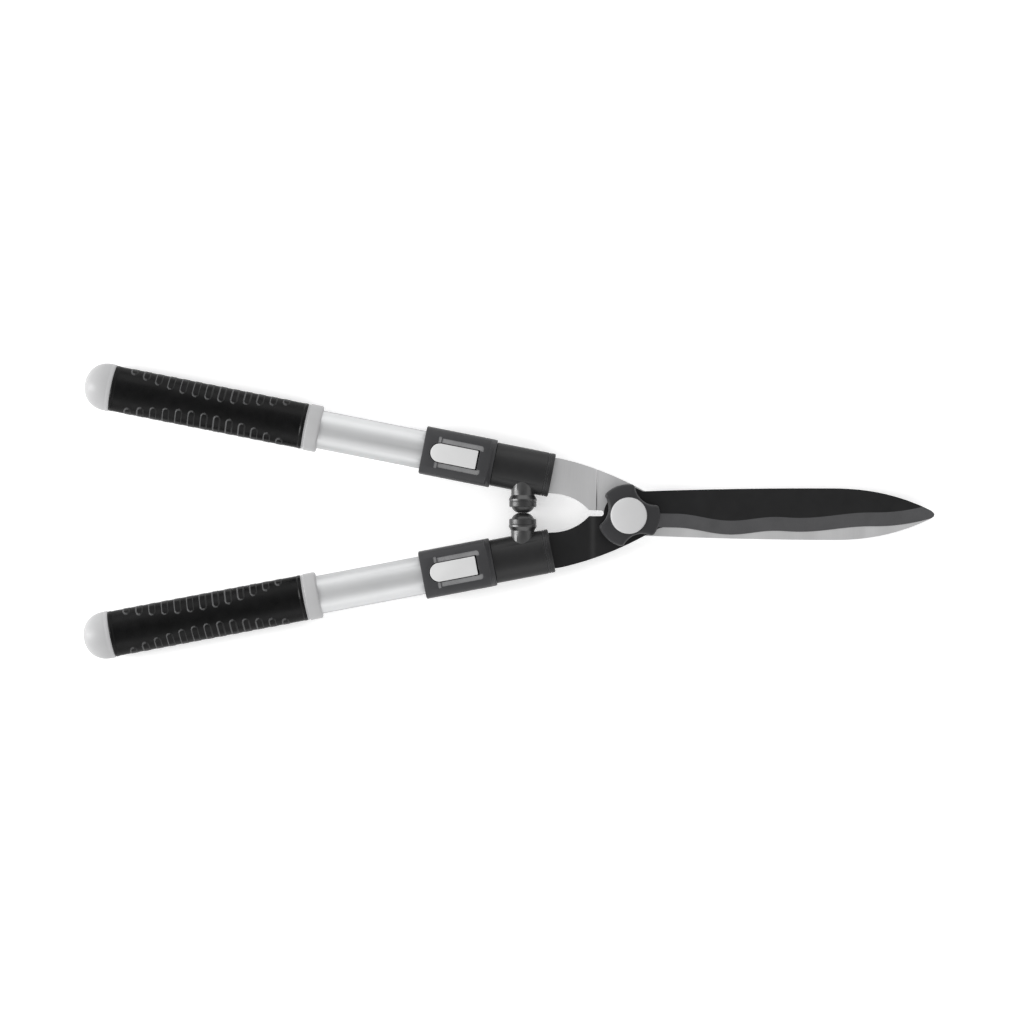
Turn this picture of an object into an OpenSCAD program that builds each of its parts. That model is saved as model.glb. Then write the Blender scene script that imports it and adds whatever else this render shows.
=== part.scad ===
// Telescopic hedge shears with wavy blades, lying flat on their back.
// Millimetres. The origin is on the pivot axis, at the flat underside of the pivot bolt.
// +X runs to the blade tips and +Z points at whoever looks down on the shears.

/* [Blades] */
// Distance from the pivot to the blade tip
blade_reach = 248.4; // [244:0.2:256]
// Thickness of the blade steel
steel = 3; // [2.6:0.1:3.2]
// Width of the ground bevel
bevel_w = 11.2; // [9:0.2:12]
// Thickness left at the cutting edge
edge_land = 0.4; // [0.3:0.1:0.8]
// Free play between the two blades
blade_play = 0.1; // [0.05:0.05:0.2]
// Distance of the closed centreline from the pivot
centre_offset = 1.8; // [0:0.1:2.4]

/* [Handles] */
// Angle between one handle and the centreline
handle_angle = 11; // [10.5:0.1:11.5]
// Width of the outer tube
tube_w = 31; // [30.6:0.1:31.6]
// Depth of the outer tube
tube_d = 21; // [20.6:0.1:21.4]
// Wall of both tubes
tube_wall = 1.5; // [1.2:0.1:1.5]
// Distance the handles pull out
travel = 200; // [120:10:200]
// Width of the rubber grip
grip_w = 38.5; // [37.5:0.1:40]
// Depth of the rubber grip
grip_d = 27; // [26:0.1:27]

/* [Knob] */
// Radius over the three lobes
knob_r = 25.4; // [24.5:0.1:27]
// Smallest radius in the flutes
flute_r = 16.5; // [16:0.1:18]
// Height of the knob
knob_h = 15; // [13:0.5:18]

/* [Hidden] */
$fn = 96;
tiny = 0.5;

// Heights above the resting plane
tube_z = grip_d / 2;
head_h = 8;
bolt_hex_h = 5.6;
blade_z = head_h;
top_blade_z = blade_z + steel + blade_play;
tang_z = blade_z + steel + blade_play / 2;
washer_z = top_blade_z + steel;
washer_t = 1;
spring_z = washer_z + washer_t;
spring_t = 1.8;
knob_z = spring_z + spring_t;

// Blade outline: half widths are measured from the closed centreline
spine_x0 = 11.5;
spine_x1 = 165;
spine_half = 20.95;
spine_rise = 3.05;
spine_drop = 4.75;
spine_power = 2.25;
spine_unit = 45;
edge_heel_x = 29;
tip_x0 = 200;
tip_half = 9.6;
tip_drop = 7.4;
tip_round = 0.4;
tip_edge_y = 1.5;
tip_spine_y = 1.3;
// Crests and troughs of the wavy cutting edge: [distance from the pivot, half width]
edge_knots = [[29, 11.2], [38, 11.3], [83.5, 16.8], [119.8, 13.6], [138.6, 14.3], [198, tip_half]];
outline_step = 6;

// Tang and boss
boss_r = 19.7;
// The heel where the tang runs into the cutting edge, and the heel of the spine
tang_heel = [[19.7, 16.2], [22.7, 13.4]];
spine_heel = [[6, -20.8], [-6, -20]];
tang_x0 = -54.9;
tang_half = 44.3;
tang_slope = 0.22;
tang_bow = 0.00237;
tang_x1 = 14;
crotch_r = 41.8;
crotch_x = -62;
crotch_y = 15.75;
slot_half = 2.3;
slot_end_x = -19.5;
joggle_x = -25.5;
joggle_l = 4;
tongue_w = 20;
tongue_s = 86;
mouth_outer = 14.4;
mouth_inner = 15;
mouth_depth = 3;

// Stations along a handle, measured from the point beside the pivot
axis_start = 18.45;
socket_s = 62.8;
lock_s = 110.9;
lock_end_s = 169;
collar_s = 254.2;
grip_s = 266.5;
cap_s = 425.1;
cap_end_s = 448.1;
inner_s = 88;
outer_s = 113;
tube_overlap = 72;
inner_end_s = outer_s + travel + tube_overlap;
guide_l = 6;

// Cross sections
socket_w = 35.5;
socket_d = 24;
lock_w = 39;
lock_d = 26;
collar_w = 38;
collar_d = 26.6;
play = 0.05;
inner_w = tube_w - 2 * tube_wall - 1;
inner_d = tube_d - 2 * tube_wall - 1;

// Bumper
bumper_x = -85.05;
bumper_gap = 0.15;
dome_h = 4.7;
dome_r = 9.1;
flange_r = 11;
flange_h = 5.2;
ring_h = 1.4;
neck_h = 3;
neck_r = 11.3;
stem_r = 9.5;
stem_l = 20;
stub_r = 4.5;
stub_l = 9;

// Lock: heights are measured from the middle of the tube
lever_w = 15.1;
lever_t = 3;
lever_s = 124.6;
lever_end_s = 162.4;
nose_s = lever_end_s - lever_w / 2;
pin_s = 128.6;
pin_z = 15.2;
pin_r = 1.5;
pin_half = 14.5;
cam_r = 3.9;
cam_throw = 0.4;
lever_z = 14.8;
deck_z = 17.5;
deck_s = 114.5;
deck_half = 19.3;
deck_side_z = 9;
deck_top_half = 15;
well_half = 8.1;
well_floor = 13.2;
ledge_s = 120.9;
ledge_end_s = 157.7;
ledge_half = 11.8;
ledge_z = 16.85;
window_s = 123.4;
window_end_s = 134;
window_half = 7.9;
shoe_z = 8.8;
shoe_t = 1.75;
shoe_half = 6.5;

// Grip pads
pad_n = 13;
pad_pitch = 10.4;
pad_shift = 1.2;
pad_w = 6.2;
pad_h = 0.6;
pad_short = 6;
pad_long = 14;

// Screws
screw_r = 2;
screw_head_r = 3.8;
screw_head_h = 2.4;
socket_screws = [71.5, 81.5, 101];
small_screw_r = 1.4;
small_head_r = 2.8;
small_head_h = 1.8;
lock_screws = [140, 159];

// Pivot
bolt_r = 4.5;
bolt_flange_r = 10.5;
bolt_hex_r = 9.24;
neck_side = 9;
washer_r = 12.5;
spring_r = 11.5;
nut_r = 9.8;
nut_h = 8;
cap_r = 14.65;
cap_edge = 1.2;
cap_dome = 1.3;
cap_top_r = 9;
cap_peg_r = 6;
cap_peg_l = 3;
flute_arc = 16.6;
knob_turn = 49.5;
knob_chamfer = 2.2;

// ---------------------------------------------------------------- placing

// The left arm: its handle lies on +Y of the closed centreline
module on_left() {
    translate([0, centre_offset, 0]) children();
}

// The right arm is the mirror image of the left one
module on_right() {
    translate([0, centre_offset, 0]) mirror([0, 1, 0]) children();
}

// Handle frame: X outward along the handle, Y towards the other handle, Z from the tube's middle
module along_handle() {
    translate([0, axis_start, tube_z]) rotate([0, 0, 180 - handle_angle]) children();
}

// A point of the handle frame, seen in the arm's plan
function handle_point(s, y) = [
    -s * cos(handle_angle) - y * sin(handle_angle),
    axis_start + s * sin(handle_angle) - y * cos(handle_angle)
];

// Extrudes a cross section along the handle from one station to another
module bar(s0, s1) {
    translate([s0, 0, 0]) rotate([90, 0, 90]) linear_extrude(s1 - s0) children();
}

// Oval of four tangent arcs, w wide and d deep
module oval(w, d) {
    a = w / 2;
    b = d / 2;
    side_r = b * 0.6;
    face_r = ((a - side_r) * (a - side_r) + b * b - side_r * side_r) / (2 * (b - side_r));
    meet = (a - side_r) * face_r / (face_r - side_r);
    intersection() {
        translate([0, b - face_r]) circle(face_r);
        translate([0, face_r - b]) circle(face_r);
        square([2 * meet, w], center = true);
    }
    for (side = [-1, 1])
        translate([side * (a - side_r), 0]) circle(side_r);
}

// ---------------------------------------------------------------- blades

function ease(t) = (1 - cos(180 * t)) / 2;

// Half width of the wavy cutting edge at x, eased from one knot to the next
function edge_wave(x, i = 0) =
    i > len(edge_knots) - 3 || x <= edge_knots[i + 1][0]
    ? edge_knots[i][1] + (edge_knots[i + 1][1] - edge_knots[i][1])
        * ease((x - edge_knots[i][0]) / (edge_knots[i + 1][0] - edge_knots[i][0]))
    : edge_wave(x, i + 1);

function edge_half(x) = x > tip_x0
    ? tip_half - tip_drop * pow((x - tip_x0) / (blade_reach - tip_x0), 2)
    : edge_wave(min(x, edge_knots[len(edge_knots) - 1][0]));

// Half width of the spine at x
function spine_at(x) = x > spine_x1
    ? spine_half - spine_drop * pow((x - spine_x1) / spine_unit, spine_power)
    : spine_half - spine_rise * pow((spine_x1 - x) / (spine_x1 - spine_x0), 2);

function edge_points(x_end) =
    [for (x = [edge_heel_x : outline_step : x_end]) [x, edge_half(x)]];

// Plan of one arm from tang to tip: tang edge and cutting edge on +Y, spine on -Y
module arm_outline() {
    tang_edge = [for (x = [tang_x0 : outline_step : tang_x1])
        [x, tang_half - tang_slope * (x - tang_x0) - tang_bow * pow(x - tang_x0, 2)]];
    spine_edge = [for (x = [tip_x0 + 46 : -outline_step : spine_x0]) [x, -spine_at(x)]];
    polygon(concat(
        [handle_point(socket_s + mouth_depth, -mouth_outer)],
        tang_edge,
        tang_heel,
        edge_points(blade_reach - 2),
        [[blade_reach - tip_round, tip_edge_y], [blade_reach, 0],
         [blade_reach - tip_round, -tip_spine_y]],
        spine_edge,
        spine_heel,
        [[slot_end_x + 2, -slot_half], [slot_end_x, slot_half],
         [crotch_x, slot_half], [crotch_x, crotch_y],
         handle_point(socket_s + mouth_depth, mouth_inner)]));
}

// The arm as a thick block with the boss round the pivot, which is at pivot_y
module arm_block(pivot_y) {
    block_h = 20;
    deep = block_h + 2;
    translate([0, 0, -block_h / 2]) difference() {
        union() {
            linear_extrude(block_h) arm_outline();
            translate([0, pivot_y, 0]) cylinder(r = boss_r, h = block_h);
            translate([slot_end_x - slot_half, -slot_half, 0])
                cube([10, 2 * slot_half, block_h]);
            translate([0, axis_start, 0]) rotate([0, 0, 180 - handle_angle])
                translate([socket_s + 1, -tongue_w / 2, 0])
                    cube([tongue_s - socket_s - 1, tongue_w, block_h]);
        }
        translate([0, 0, -1]) {
            intersection() {
                translate([crotch_x, crotch_y - crotch_r, 0]) cylinder(r = crotch_r, h = deep);
                translate([crotch_x, 0, 0]) cube([crotch_r, crotch_r, deep]);
            }
            translate([crotch_x, -slot_half, 0])
                cube([slot_end_x - slot_half - crotch_x, 2 * slot_half, deep]);
            translate([slot_end_x - slot_half, 0, 0]) cylinder(r = slot_half, h = deep);
        }
    }
}

// Side view of the steel: the tang is bent half a thickness across to the handles' plane
module joggled_plate() {
    drop = -(steel + blade_play) / 2;
    rotate([90, 0, 0]) translate([0, 0, -100]) linear_extrude(200)
        polygon([
            [joggle_x - joggle_l / 2, drop],
            [joggle_x + joggle_l / 2, 0],
            [blade_reach + 10, 0],
            [blade_reach + 10, steel],
            [joggle_x + joggle_l / 2, steel],
            [joggle_x - joggle_l / 2, steel + drop],
            [-120, steel + drop],
            [-120, drop]]);
}

// What the grinding wheel takes off: a slanting cut that follows the wavy edge
module bevel_cut() {
    slant = atan(bevel_w / (steel - edge_land));
    intersection() {
        translate([0, 0, edge_land]) rotate([slant, 0, 0])
            translate([0, 0, -60]) linear_extrude(120)
                polygon(concat(
                    [for (p = edge_points(blade_reach)) [p[0], p[1] * cos(slant)]],
                    [[blade_reach + 8, 0], [blade_reach + 8, 40], [0, 40],
                     [edge_heel_x, edge_half(edge_heel_x) * cos(slant)]]));
        translate([edge_heel_x - 12, -40, edge_land]) cube([blade_reach, 80, steel]);
    }
}

// One arm of blade steel, inner face down
module arm_steel(pivot_y) {
    difference() {
        intersection() {
            arm_block(pivot_y);
            joggled_plate();
        }
        bevel_cut();
        along_handle() translate([0, 0, -tube_z - 10])
            for (i = [0, 1])
                translate([socket_screws[i], 0, 0]) cylinder(r = screw_r, h = 20);
    }
}

module bottom_blade() {
    color("silver") difference() {
        on_left() translate([0, 0, blade_z + steel]) mirror([0, 0, 1])
            arm_steel(-centre_offset);
        translate([-neck_side / 2, -neck_side / 2, blade_z - 1])
            cube([neck_side, neck_side, steel + 2]);
    }
}

module top_blade() {
    color("#2b2b2d") difference() {
        on_right() translate([0, 0, top_blade_z])
            arm_steel(centre_offset);
        translate([0, 0, top_blade_z - 1]) cylinder(r = bolt_r + play, h = steel + 2);
    }
}

// ---------------------------------------------------------------- pivot

module pivot_bolt() {
    color("#8d9094") {
        cylinder(r = bolt_hex_r, h = bolt_hex_h, $fn = 6);
        translate([0, 0, bolt_hex_h]) cylinder(r = bolt_flange_r, h = head_h - bolt_hex_h);
        translate([-neck_side / 2, -neck_side / 2, head_h])
            cube([neck_side, neck_side, steel]);
        translate([0, 0, head_h + steel - tiny])
            cylinder(r = bolt_r, h = knob_z + nut_h + 2 - head_h - steel + tiny);
    }
}

module pivot_washer() {
    color("#b9bcbf") translate([0, 0, washer_z]) difference() {
        cylinder(r = washer_r, h = washer_t);
        translate([0, 0, -1]) cylinder(r = bolt_r + 0.3, h = washer_t + 2);
    }
}

module spring_washer() {
    rim = 0.8;
    color("#9a9da1") translate([0, 0, spring_z]) difference() {
        union() {
            cylinder(r = spring_r, h = rim);
            translate([0, 0, rim]) cylinder(r1 = spring_r, r2 = bolt_r + 2.5, h = spring_t - rim);
        }
        translate([0, 0, -1]) cylinder(r = bolt_r + 0.35, h = spring_t + 2);
        translate([0, 0, -tiny])
            cylinder(r1 = spring_r - 1, r2 = bolt_r + 1, h = spring_t - rim + tiny);
    }
}

module knob_outline() {
    difference() {
        circle(knob_r);
        for (i = [0 : 2])
            rotate(knob_turn + 120 * i) translate([flute_r + flute_arc, 0]) circle(flute_arc);
    }
}

module knob() {
    color("#47484b") translate([0, 0, knob_z]) difference() {
        intersection() {
            linear_extrude(knob_h) knob_outline();
            union() {
                cylinder(r = knob_r + 1, h = knob_h - knob_chamfer);
                translate([0, 0, knob_h - knob_chamfer])
                    cylinder(r1 = knob_r, r2 = knob_r - 1.6 * knob_chamfer, h = knob_chamfer);
            }
        }
        translate([0, 0, -1]) cylinder(r = nut_r, h = nut_h + 1, $fn = 6);
        cylinder(r = bolt_r + 0.4, h = nut_h + 2.5);
        translate([0, 0, knob_h - cap_peg_l]) cylinder(r = cap_peg_r, h = cap_peg_l + 1);
    }
}

module knob_nut() {
    color("#a3a6aa") translate([0, 0, knob_z]) difference() {
        cylinder(r = nut_r, h = nut_h, $fn = 6);
        translate([0, 0, -1]) cylinder(r = bolt_r + play, h = nut_h + 2);
    }
}

module knob_cap() {
    color("#d2d3d5") translate([0, 0, knob_z + knob_h]) {
        cylinder(r = cap_r, h = cap_edge);
        translate([0, 0, cap_edge]) cylinder(r1 = cap_r, r2 = cap_top_r, h = cap_dome);
        translate([0, 0, -cap_peg_l]) cylinder(r = cap_peg_r, h = cap_peg_l);
    }
}

// ---------------------------------------------------------------- arm fittings

// Bumper frame: Z is the distance from the closed centreline
module along_bumper() {
    translate([bumper_x, 0, tube_z]) rotate([-90, 0, 0]) children();
}

// Space the tang and its tongue take in the socket
module tang_pocket() {
    translate([0, 0, tang_z - tube_z - steel / 2]) linear_extrude(steel) {
        translate([socket_s - 1, -mouth_outer - 1])
            square([mouth_depth + 1, mouth_outer + mouth_inner + 2]);
        translate([socket_s, -tongue_w / 2]) square([tongue_s - socket_s, tongue_w]);
    }
}

module socket_screw_shape() {
    for (s = socket_screws)
        along_handle() translate([s, 0, -socket_d / 2]) {
            cylinder(r = screw_head_r, h = screw_head_h);
            cylinder(r = screw_r, h = (s > inner_s) ? 6 : 14);
        }
}

module socket() {
    ring_z = dome_h + flange_h;
    color("#3e3f42") difference() {
        union() {
            along_handle() bar(socket_s, lock_s) oval(socket_w, socket_d);
            along_bumper() {
                translate([0, 0, ring_z]) cylinder(r = neck_r, h = ring_h);
                translate([0, 0, ring_z + ring_h]) cylinder(r1 = neck_r, r2 = stem_r, h = neck_h);
                translate([0, 0, ring_z + ring_h + neck_h]) cylinder(r = stem_r, h = stem_l);
            }
        }
        along_handle() {
            bar(inner_s, lock_s + 1) oval(inner_w, inner_d);
            tang_pocket();
        }
        along_bumper() translate([0, 0, dome_h + flange_h - 1])
            cylinder(r = stub_r, h = stub_l + 1);
        socket_screw_shape();
        along_handle() translate([0, 0, -socket_d / 2 - 2])
            for (s = socket_screws)
                translate([s, 0, 0]) cylinder(r = screw_head_r, h = 3);
    }
}

module socket_screws_set() {
    color("#7c7f84") socket_screw_shape();
}

module bumper() {
    cap_h = dome_h - bumper_gap;
    dome = (dome_r * dome_r + cap_h * cap_h) / (2 * cap_h);
    color("#2a2a2b") along_bumper() {
        intersection() {
            translate([0, 0, bumper_gap + dome]) sphere(dome);
            translate([0, 0, bumper_gap]) cylinder(r = flange_r, h = cap_h);
        }
        translate([0, 0, dome_h]) cylinder(r = flange_r, h = flange_h);
        translate([0, 0, dome_h + flange_h - tiny]) cylinder(r = stub_r, h = stub_l + tiny);
    }
}

module inner_tube() {
    color("#b5b8bc") along_handle() difference() {
        bar(inner_s, inner_end_s) oval(inner_w, inner_d);
        bar(inner_s - 1, inner_end_s + 1)
            oval(inner_w - 2 * tube_wall, inner_d - 2 * tube_wall);
        translate([socket_screws[2], 0, -socket_d / 2]) cylinder(r = screw_r, h = 10);
    }
}

// Plastic bush in the hidden end of the inner tube: it centres the tube in the outer one
module tube_guide() {
    color("#e4e2da") along_handle() difference() {
        union() {
            bar(inner_end_s, inner_end_s + guide_l)
                oval(tube_w - 2 * tube_wall - 2 * play, tube_d - 2 * tube_wall - 2 * play);
            bar(inner_end_s - 14, inner_end_s + tiny)
                oval(inner_w - 2 * tube_wall, inner_d - 2 * tube_wall);
        }
        bar(inner_end_s - 15, inner_end_s + guide_l + 1)
            oval(inner_w - 4 * tube_wall, inner_d - 4 * tube_wall);
    }
}

// ---------------------------------------------------------------- sliding handle

// Opening under the lever, through the lock housing and the outer tube
module lock_window() {
    translate([window_s, -window_half, 0])
        cube([window_end_s - window_s, 2 * window_half, 20]);
}

module lock_screw_shape() {
    for (s = lock_screws)
        along_handle() translate([s, 0, -lock_d / 2]) {
            cylinder(r = small_head_r, h = small_head_h);
            cylinder(r = small_screw_r, h = lock_d / 2 - inner_d / 2 - 0.6);
        }
}

module outer_tube() {
    color("#c3c6ca") difference() {
        along_handle() difference() {
            bar(outer_s, cap_s) oval(tube_w, tube_d);
            bar(outer_s - 1, cap_s + 1) oval(tube_w - 2 * tube_wall, tube_d - 2 * tube_wall);
            lock_window();
        }
        lock_screw_shape();
    }
}

module lock_housing() {
    color("#47484b") difference() {
        along_handle() difference() {
            union() {
                bar(lock_s, lock_end_s) oval(lock_w, lock_d);
                bar(deck_s, lock_end_s)
                    polygon([
                        [-deck_half, 0],
                        [deck_half, 0],
                        [deck_half, deck_side_z],
                        [deck_top_half, deck_z],
                        [-deck_top_half, deck_z],
                        [-deck_half, deck_side_z]]);
            }
            bar(lock_s - 1, outer_s + tiny) oval(inner_w + 2 * play, inner_d + 2 * play);
            bar(outer_s, lock_end_s + 1) oval(tube_w, tube_d);
            translate([0, 0, well_floor]) {
                translate([window_s, -well_half, 0])
                    cube([nose_s - window_s, 2 * well_half, 10]);
                translate([nose_s, 0, 0]) cylinder(r = well_half, h = 10);
            }
            for (side = [-1, 1])
                translate([ledge_s, side * (well_half + ledge_half) / 2, ledge_z + 5])
                    cube([2 * (ledge_end_s - ledge_s), ledge_half - well_half + tiny, 10],
                        center = true);
            lock_window();
            translate([pin_s, 0, pin_z]) rotate([90, 0, 0])
                cylinder(r = pin_r, h = 2 * pin_half, center = true);
        }
        lock_screw_shape();
    }
}

module housing_screws() {
    color("#7c7f84") lock_screw_shape();
}

module lever_pin() {
    color("#8d9094") along_handle() translate([pin_s, 0, pin_z]) rotate([90, 0, 0])
        cylinder(r = pin_r, h = 2 * pin_half, center = true);
}

module lock_lever() {
    hub_half = lever_w / 2 - 0.4;
    color("#d8d9da") along_handle() difference() {
        union() {
            translate([0, 0, lever_z]) linear_extrude(lever_t) {
                translate([lever_s, -lever_w / 2])
                    square([nose_s - lever_s, lever_w]);
                translate([nose_s, 0]) circle(lever_w / 2);
            }
            translate([pin_s, 0, pin_z - cam_throw]) rotate([90, 0, 0])
                cylinder(r = cam_r, h = 2 * hub_half, center = true);
        }
        translate([lever_s - 1, -lever_w, lever_z + lever_t]) cube([20, 2 * lever_w, 5]);
        translate([pin_s, 0, pin_z]) rotate([90, 0, 0])
            cylinder(r = pin_r + play, h = 2 * lever_w, center = true);
    }
}

module brake_shoe() {
    color("#1f1f20") along_handle()
        translate([window_s + 0.5, -shoe_half, shoe_z])
            cube([window_end_s - window_s - 1, 2 * shoe_half, shoe_t]);
}

module collar() {
    step = 2;
    color("#bdbec0") along_handle() difference() {
        union() {
            bar(collar_s, grip_s - step) oval(collar_w, collar_d);
            bar(grip_s - step, grip_s) oval(collar_w - 1.2, collar_d - 1.2);
        }
        bar(collar_s - 1, grip_s + 1) oval(tube_w, tube_d);
    }
}

// Length of pad i: short near both ends of the grip and long in the middle
function pad_length(i) =
    pad_short + (pad_long - pad_short) * (1 - pow((2 * i - (pad_n - 1)) / (pad_n - 1), 2));

// Rows of finger-shaped pads reaching in from both edges
module pad_rows() {
    first = (grip_s + cap_s - (pad_n - 1) * pad_pitch) / 2 + pad_shift;
    for (i = [0 : pad_n - 1], side = [-1, 1])
        translate([first + i * pad_pitch, side * grip_w / 2]) {
            reach = pad_length(i) - pad_w / 2;
            translate([-pad_w / 2, (side > 0) ? -reach : -1]) square([pad_w, reach + 1]);
            translate([0, -side * reach]) circle(pad_w / 2);
        }
}

module grip() {
    rim = 3;
    color("#242425") along_handle() difference() {
        union() {
            bar(grip_s, cap_s) oval(grip_w - 2 * pad_h, grip_d - 2 * pad_h);
            bar(grip_s, grip_s + rim) oval(grip_w, grip_d);
            bar(cap_s - rim, cap_s) oval(grip_w, grip_d);
            intersection() {
                bar(grip_s + rim, cap_s - rim) oval(grip_w, grip_d);
                translate([0, 0, -grip_d]) linear_extrude(2 * grip_d) pad_rows();
            }
        }
        bar(grip_s - 1, cap_s + 1) oval(tube_w, tube_d);
    }
}

module end_cap() {
    plug = 12;
    plan_r = grip_w / 2;
    side_r = grip_d / 2;
    corner_r = 24;
    color("#c6c7c8") along_handle() {
        intersection() {
            bar(cap_s, cap_end_s) oval(grip_w, grip_d);
            translate([cap_end_s - plan_r, 0, -grip_d]) linear_extrude(2 * grip_d) {
                circle(plan_r);
                translate([-plan_r, -plan_r]) square([plan_r, grip_w]);
            }
            translate([cap_end_s - side_r, 0, 0]) rotate([90, 0, 0])
                translate([0, 0, -grip_w]) linear_extrude(2 * grip_w) {
                    circle(side_r);
                    translate([-plan_r, -side_r]) square([plan_r, grip_d]);
                }
            translate([cap_end_s - corner_r, 0, 0]) sphere(corner_r);
        }
        bar(cap_s - plug, cap_s + tiny)
            oval(tube_w - 2 * tube_wall, tube_d - 2 * tube_wall);
    }
}

// ---------------------------------------------------------------- the parts in place

bottom_blade();
top_blade();
pivot_bolt();
pivot_washer();
spring_washer();
knob();
knob_nut();
knob_cap();
on_left() socket();  // left_socket
on_left() bumper();  // left_bumper
on_left() inner_tube();  // left_inner_tube
on_left() tube_guide();  // left_tube_guide
on_left() socket_screws_set();  // left_socket_screws
on_left() outer_tube();  // left_outer_tube
on_left() lock_housing();  // left_lock_housing
on_left() housing_screws();  // left_housing_screws
on_left() lever_pin();  // left_lever_pin
on_left() lock_lever();  // left_lock_lever
on_left() brake_shoe();  // left_brake_shoe
on_left() collar();  // left_collar
on_left() grip();  // left_grip
on_left() end_cap();  // left_end_cap
on_right() socket();  // right_socket
on_right() bumper();  // right_bumper
on_right() inner_tube();  // right_inner_tube
on_right() tube_guide();  // right_tube_guide
on_right() socket_screws_set();  // right_socket_screws
on_right() outer_tube();  // right_outer_tube
on_right() lock_housing();  // right_lock_housing
on_right() housing_screws();  // right_housing_screws
on_right() lever_pin();  // right_lever_pin
on_right() lock_lever();  // right_lock_lever
on_right() brake_shoe();  // right_brake_shoe
on_right() collar();  // right_collar
on_right() grip();  // right_grip
on_right() end_cap();  // right_end_cap
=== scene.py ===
"""Telescopic hedge shears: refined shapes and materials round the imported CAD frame.

Lengths in this script are millimetres until to_row() turns them into metres of the row frame.
"""

import math

import bmesh
import bpy
import numpy as np
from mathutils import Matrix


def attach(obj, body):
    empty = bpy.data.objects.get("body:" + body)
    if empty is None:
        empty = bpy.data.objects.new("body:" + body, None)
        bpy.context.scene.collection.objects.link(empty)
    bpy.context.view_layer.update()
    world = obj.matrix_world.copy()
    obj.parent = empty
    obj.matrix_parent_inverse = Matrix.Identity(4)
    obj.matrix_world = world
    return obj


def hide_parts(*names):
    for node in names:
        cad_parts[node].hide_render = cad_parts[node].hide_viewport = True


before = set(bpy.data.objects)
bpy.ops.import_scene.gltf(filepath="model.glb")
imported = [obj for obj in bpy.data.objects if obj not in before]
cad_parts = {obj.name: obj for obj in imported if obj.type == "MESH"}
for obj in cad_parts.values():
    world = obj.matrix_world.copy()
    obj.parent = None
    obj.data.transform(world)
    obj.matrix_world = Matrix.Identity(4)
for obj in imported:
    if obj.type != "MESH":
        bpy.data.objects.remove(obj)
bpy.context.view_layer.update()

MM = 0.001
SIDES = ("left", "right")

# Heights above the resting plane
TUBE_Z = 13.5
STEEL = 3.0
BOTTOM_INNER_Z = 11.0
TOP_INNER_Z = 11.1
TANG_DROP = -1.55
WASHER_Z = 14.1
SPRING_Z = 15.1
KNOB_Z = 16.9
KNOB_TOP_Z = 31.9

# Arms
CENTRE = 1.8
HANDLE_DEGREES = 11
HANDLE_ANGLE = math.radians(HANDLE_DEGREES)
AXIS_START = 18.45
REACH = 248.4
BEVEL_W = 11.2
BEVEL_START = 23.9
EDGE_LAND = 0.4
# Crests and hollows of the wavy edge: place along the blade and half width there
EDGE_KNOTS = [(29, 11.2), (38, 11.3), (83.5, 16.8), (119.8, 13.6), (138.6, 14.3), (198, 9.6)]
EDGE_START = EDGE_KNOTS[0][0]
TIP_START = 200
SPINE_HALF = 20.95
SPINE_WIDEST = 165
BOSS_R = 19.7
SLOT_HALF = 2.3
CROTCH = (-62, -26.05, 41.8)
BUMPER_X = -85.05
# The tang's step down to the handles' plane: sharp on the bright arm, gentle on the black one
JOGGLE_START = -24.9
JOGGLE_L = {"left": 0.9, "right": 7}

# Stations along a handle
SOCKET_S = 62.8
INNER_S = 88
LOCK_S = 110.9
OUTER_S = 113
LOCK_END_S = 169
COLLAR_S = 254.2
GRIP_S = 266.5
INNER_END_S = 385
CAP_S = 425.1
CAP_END_S = 448.1
PIN_S = 128.6

# Knob, pivot and fasteners
KNOB_R = 25.4
KNOB_CORNER = 3.4
FLUTE_R = 16.6
FLUTE_DISTANCE = 33.1
KNOB_TURN = 49.5
BOLT_R = 4.5
SOCKET_SCREWS = (71.5, 81.5, 101)
LOCK_SCREWS = (140, 159)

# Lock: heights from the middle of the tube
LOCK_TOP = 17.5
LOCK_SQUARE = 5.5
LEVER_S = 124.6
LEVER_END_S = 162.4
LEVER_W = 15.1
LEVER_Z = 14.8
LEVER_T = 3
PIN_Z = 15.2
CAM_R = 3.9
# Opening in the tube and the housing below the lever's cam: start, end and half width
WINDOW = (123.4, 134, 7.9)
WELL_HALF = 8.1
LEDGE_Z = 16.85
LEDGE_INNER = 7.6
# Steps beside the lever: start, end, outer edge and rounding of the outer corner at the start
LEDGES = [(120.9, 154.7, 11.8, 2.4), (155.5, 157.7, 12.7, 0.6)]

# Bumper, along its own axis from the closed centreline
BUMPER_GAP = 0.03
CONTACT_R = 2.4
DOME_H = 4.7
DOME_R = 9.1
FLANGE_R = 11
FLANGE_H = 5.2
RING_H = 1.4
NECK_H = 3
NECK_R = 11.3
STEM_R = 9.5
STEM_L = 20

# Grip pads
PAD_N = 13
PAD_PITCH = 10.4
PAD_SHIFT = 1.2
PAD_MIDDLE = (GRIP_S + CAP_S) / 2 + PAD_SHIFT
PAD_FLANK = 1.2
PAD_W = 6.2
PAD_H = 0.85
PAD_SHORT = 6
PAD_LONG = 14

# Studio: SKY has the surroundings' brightness by share of the way up to the zenith
SKY = [(0.0, 1.1), (0.5, 1.15), (0.8, 0.85), (1.0, 0.3)]
MIDDLE_X = -90
SIDE_POWER = 7
END_POWER = 30
CAMERA = (-93.8, 2.5, 2316.5)
CAMERA_ROLL = 0.25

# Cross sections: width and depth
SOCKET = (35.5, 24)
LOCK = (39, 26)
TUBE = (31, 21)
TUBE_BORE = (28, 18)
INNER = (27, 17)
INNER_BORE = (24, 14)
COLLAR = (38, 26.6)
GRIP = (38.5, 27)


# ---------------------------------------------------------------- spaces

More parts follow.
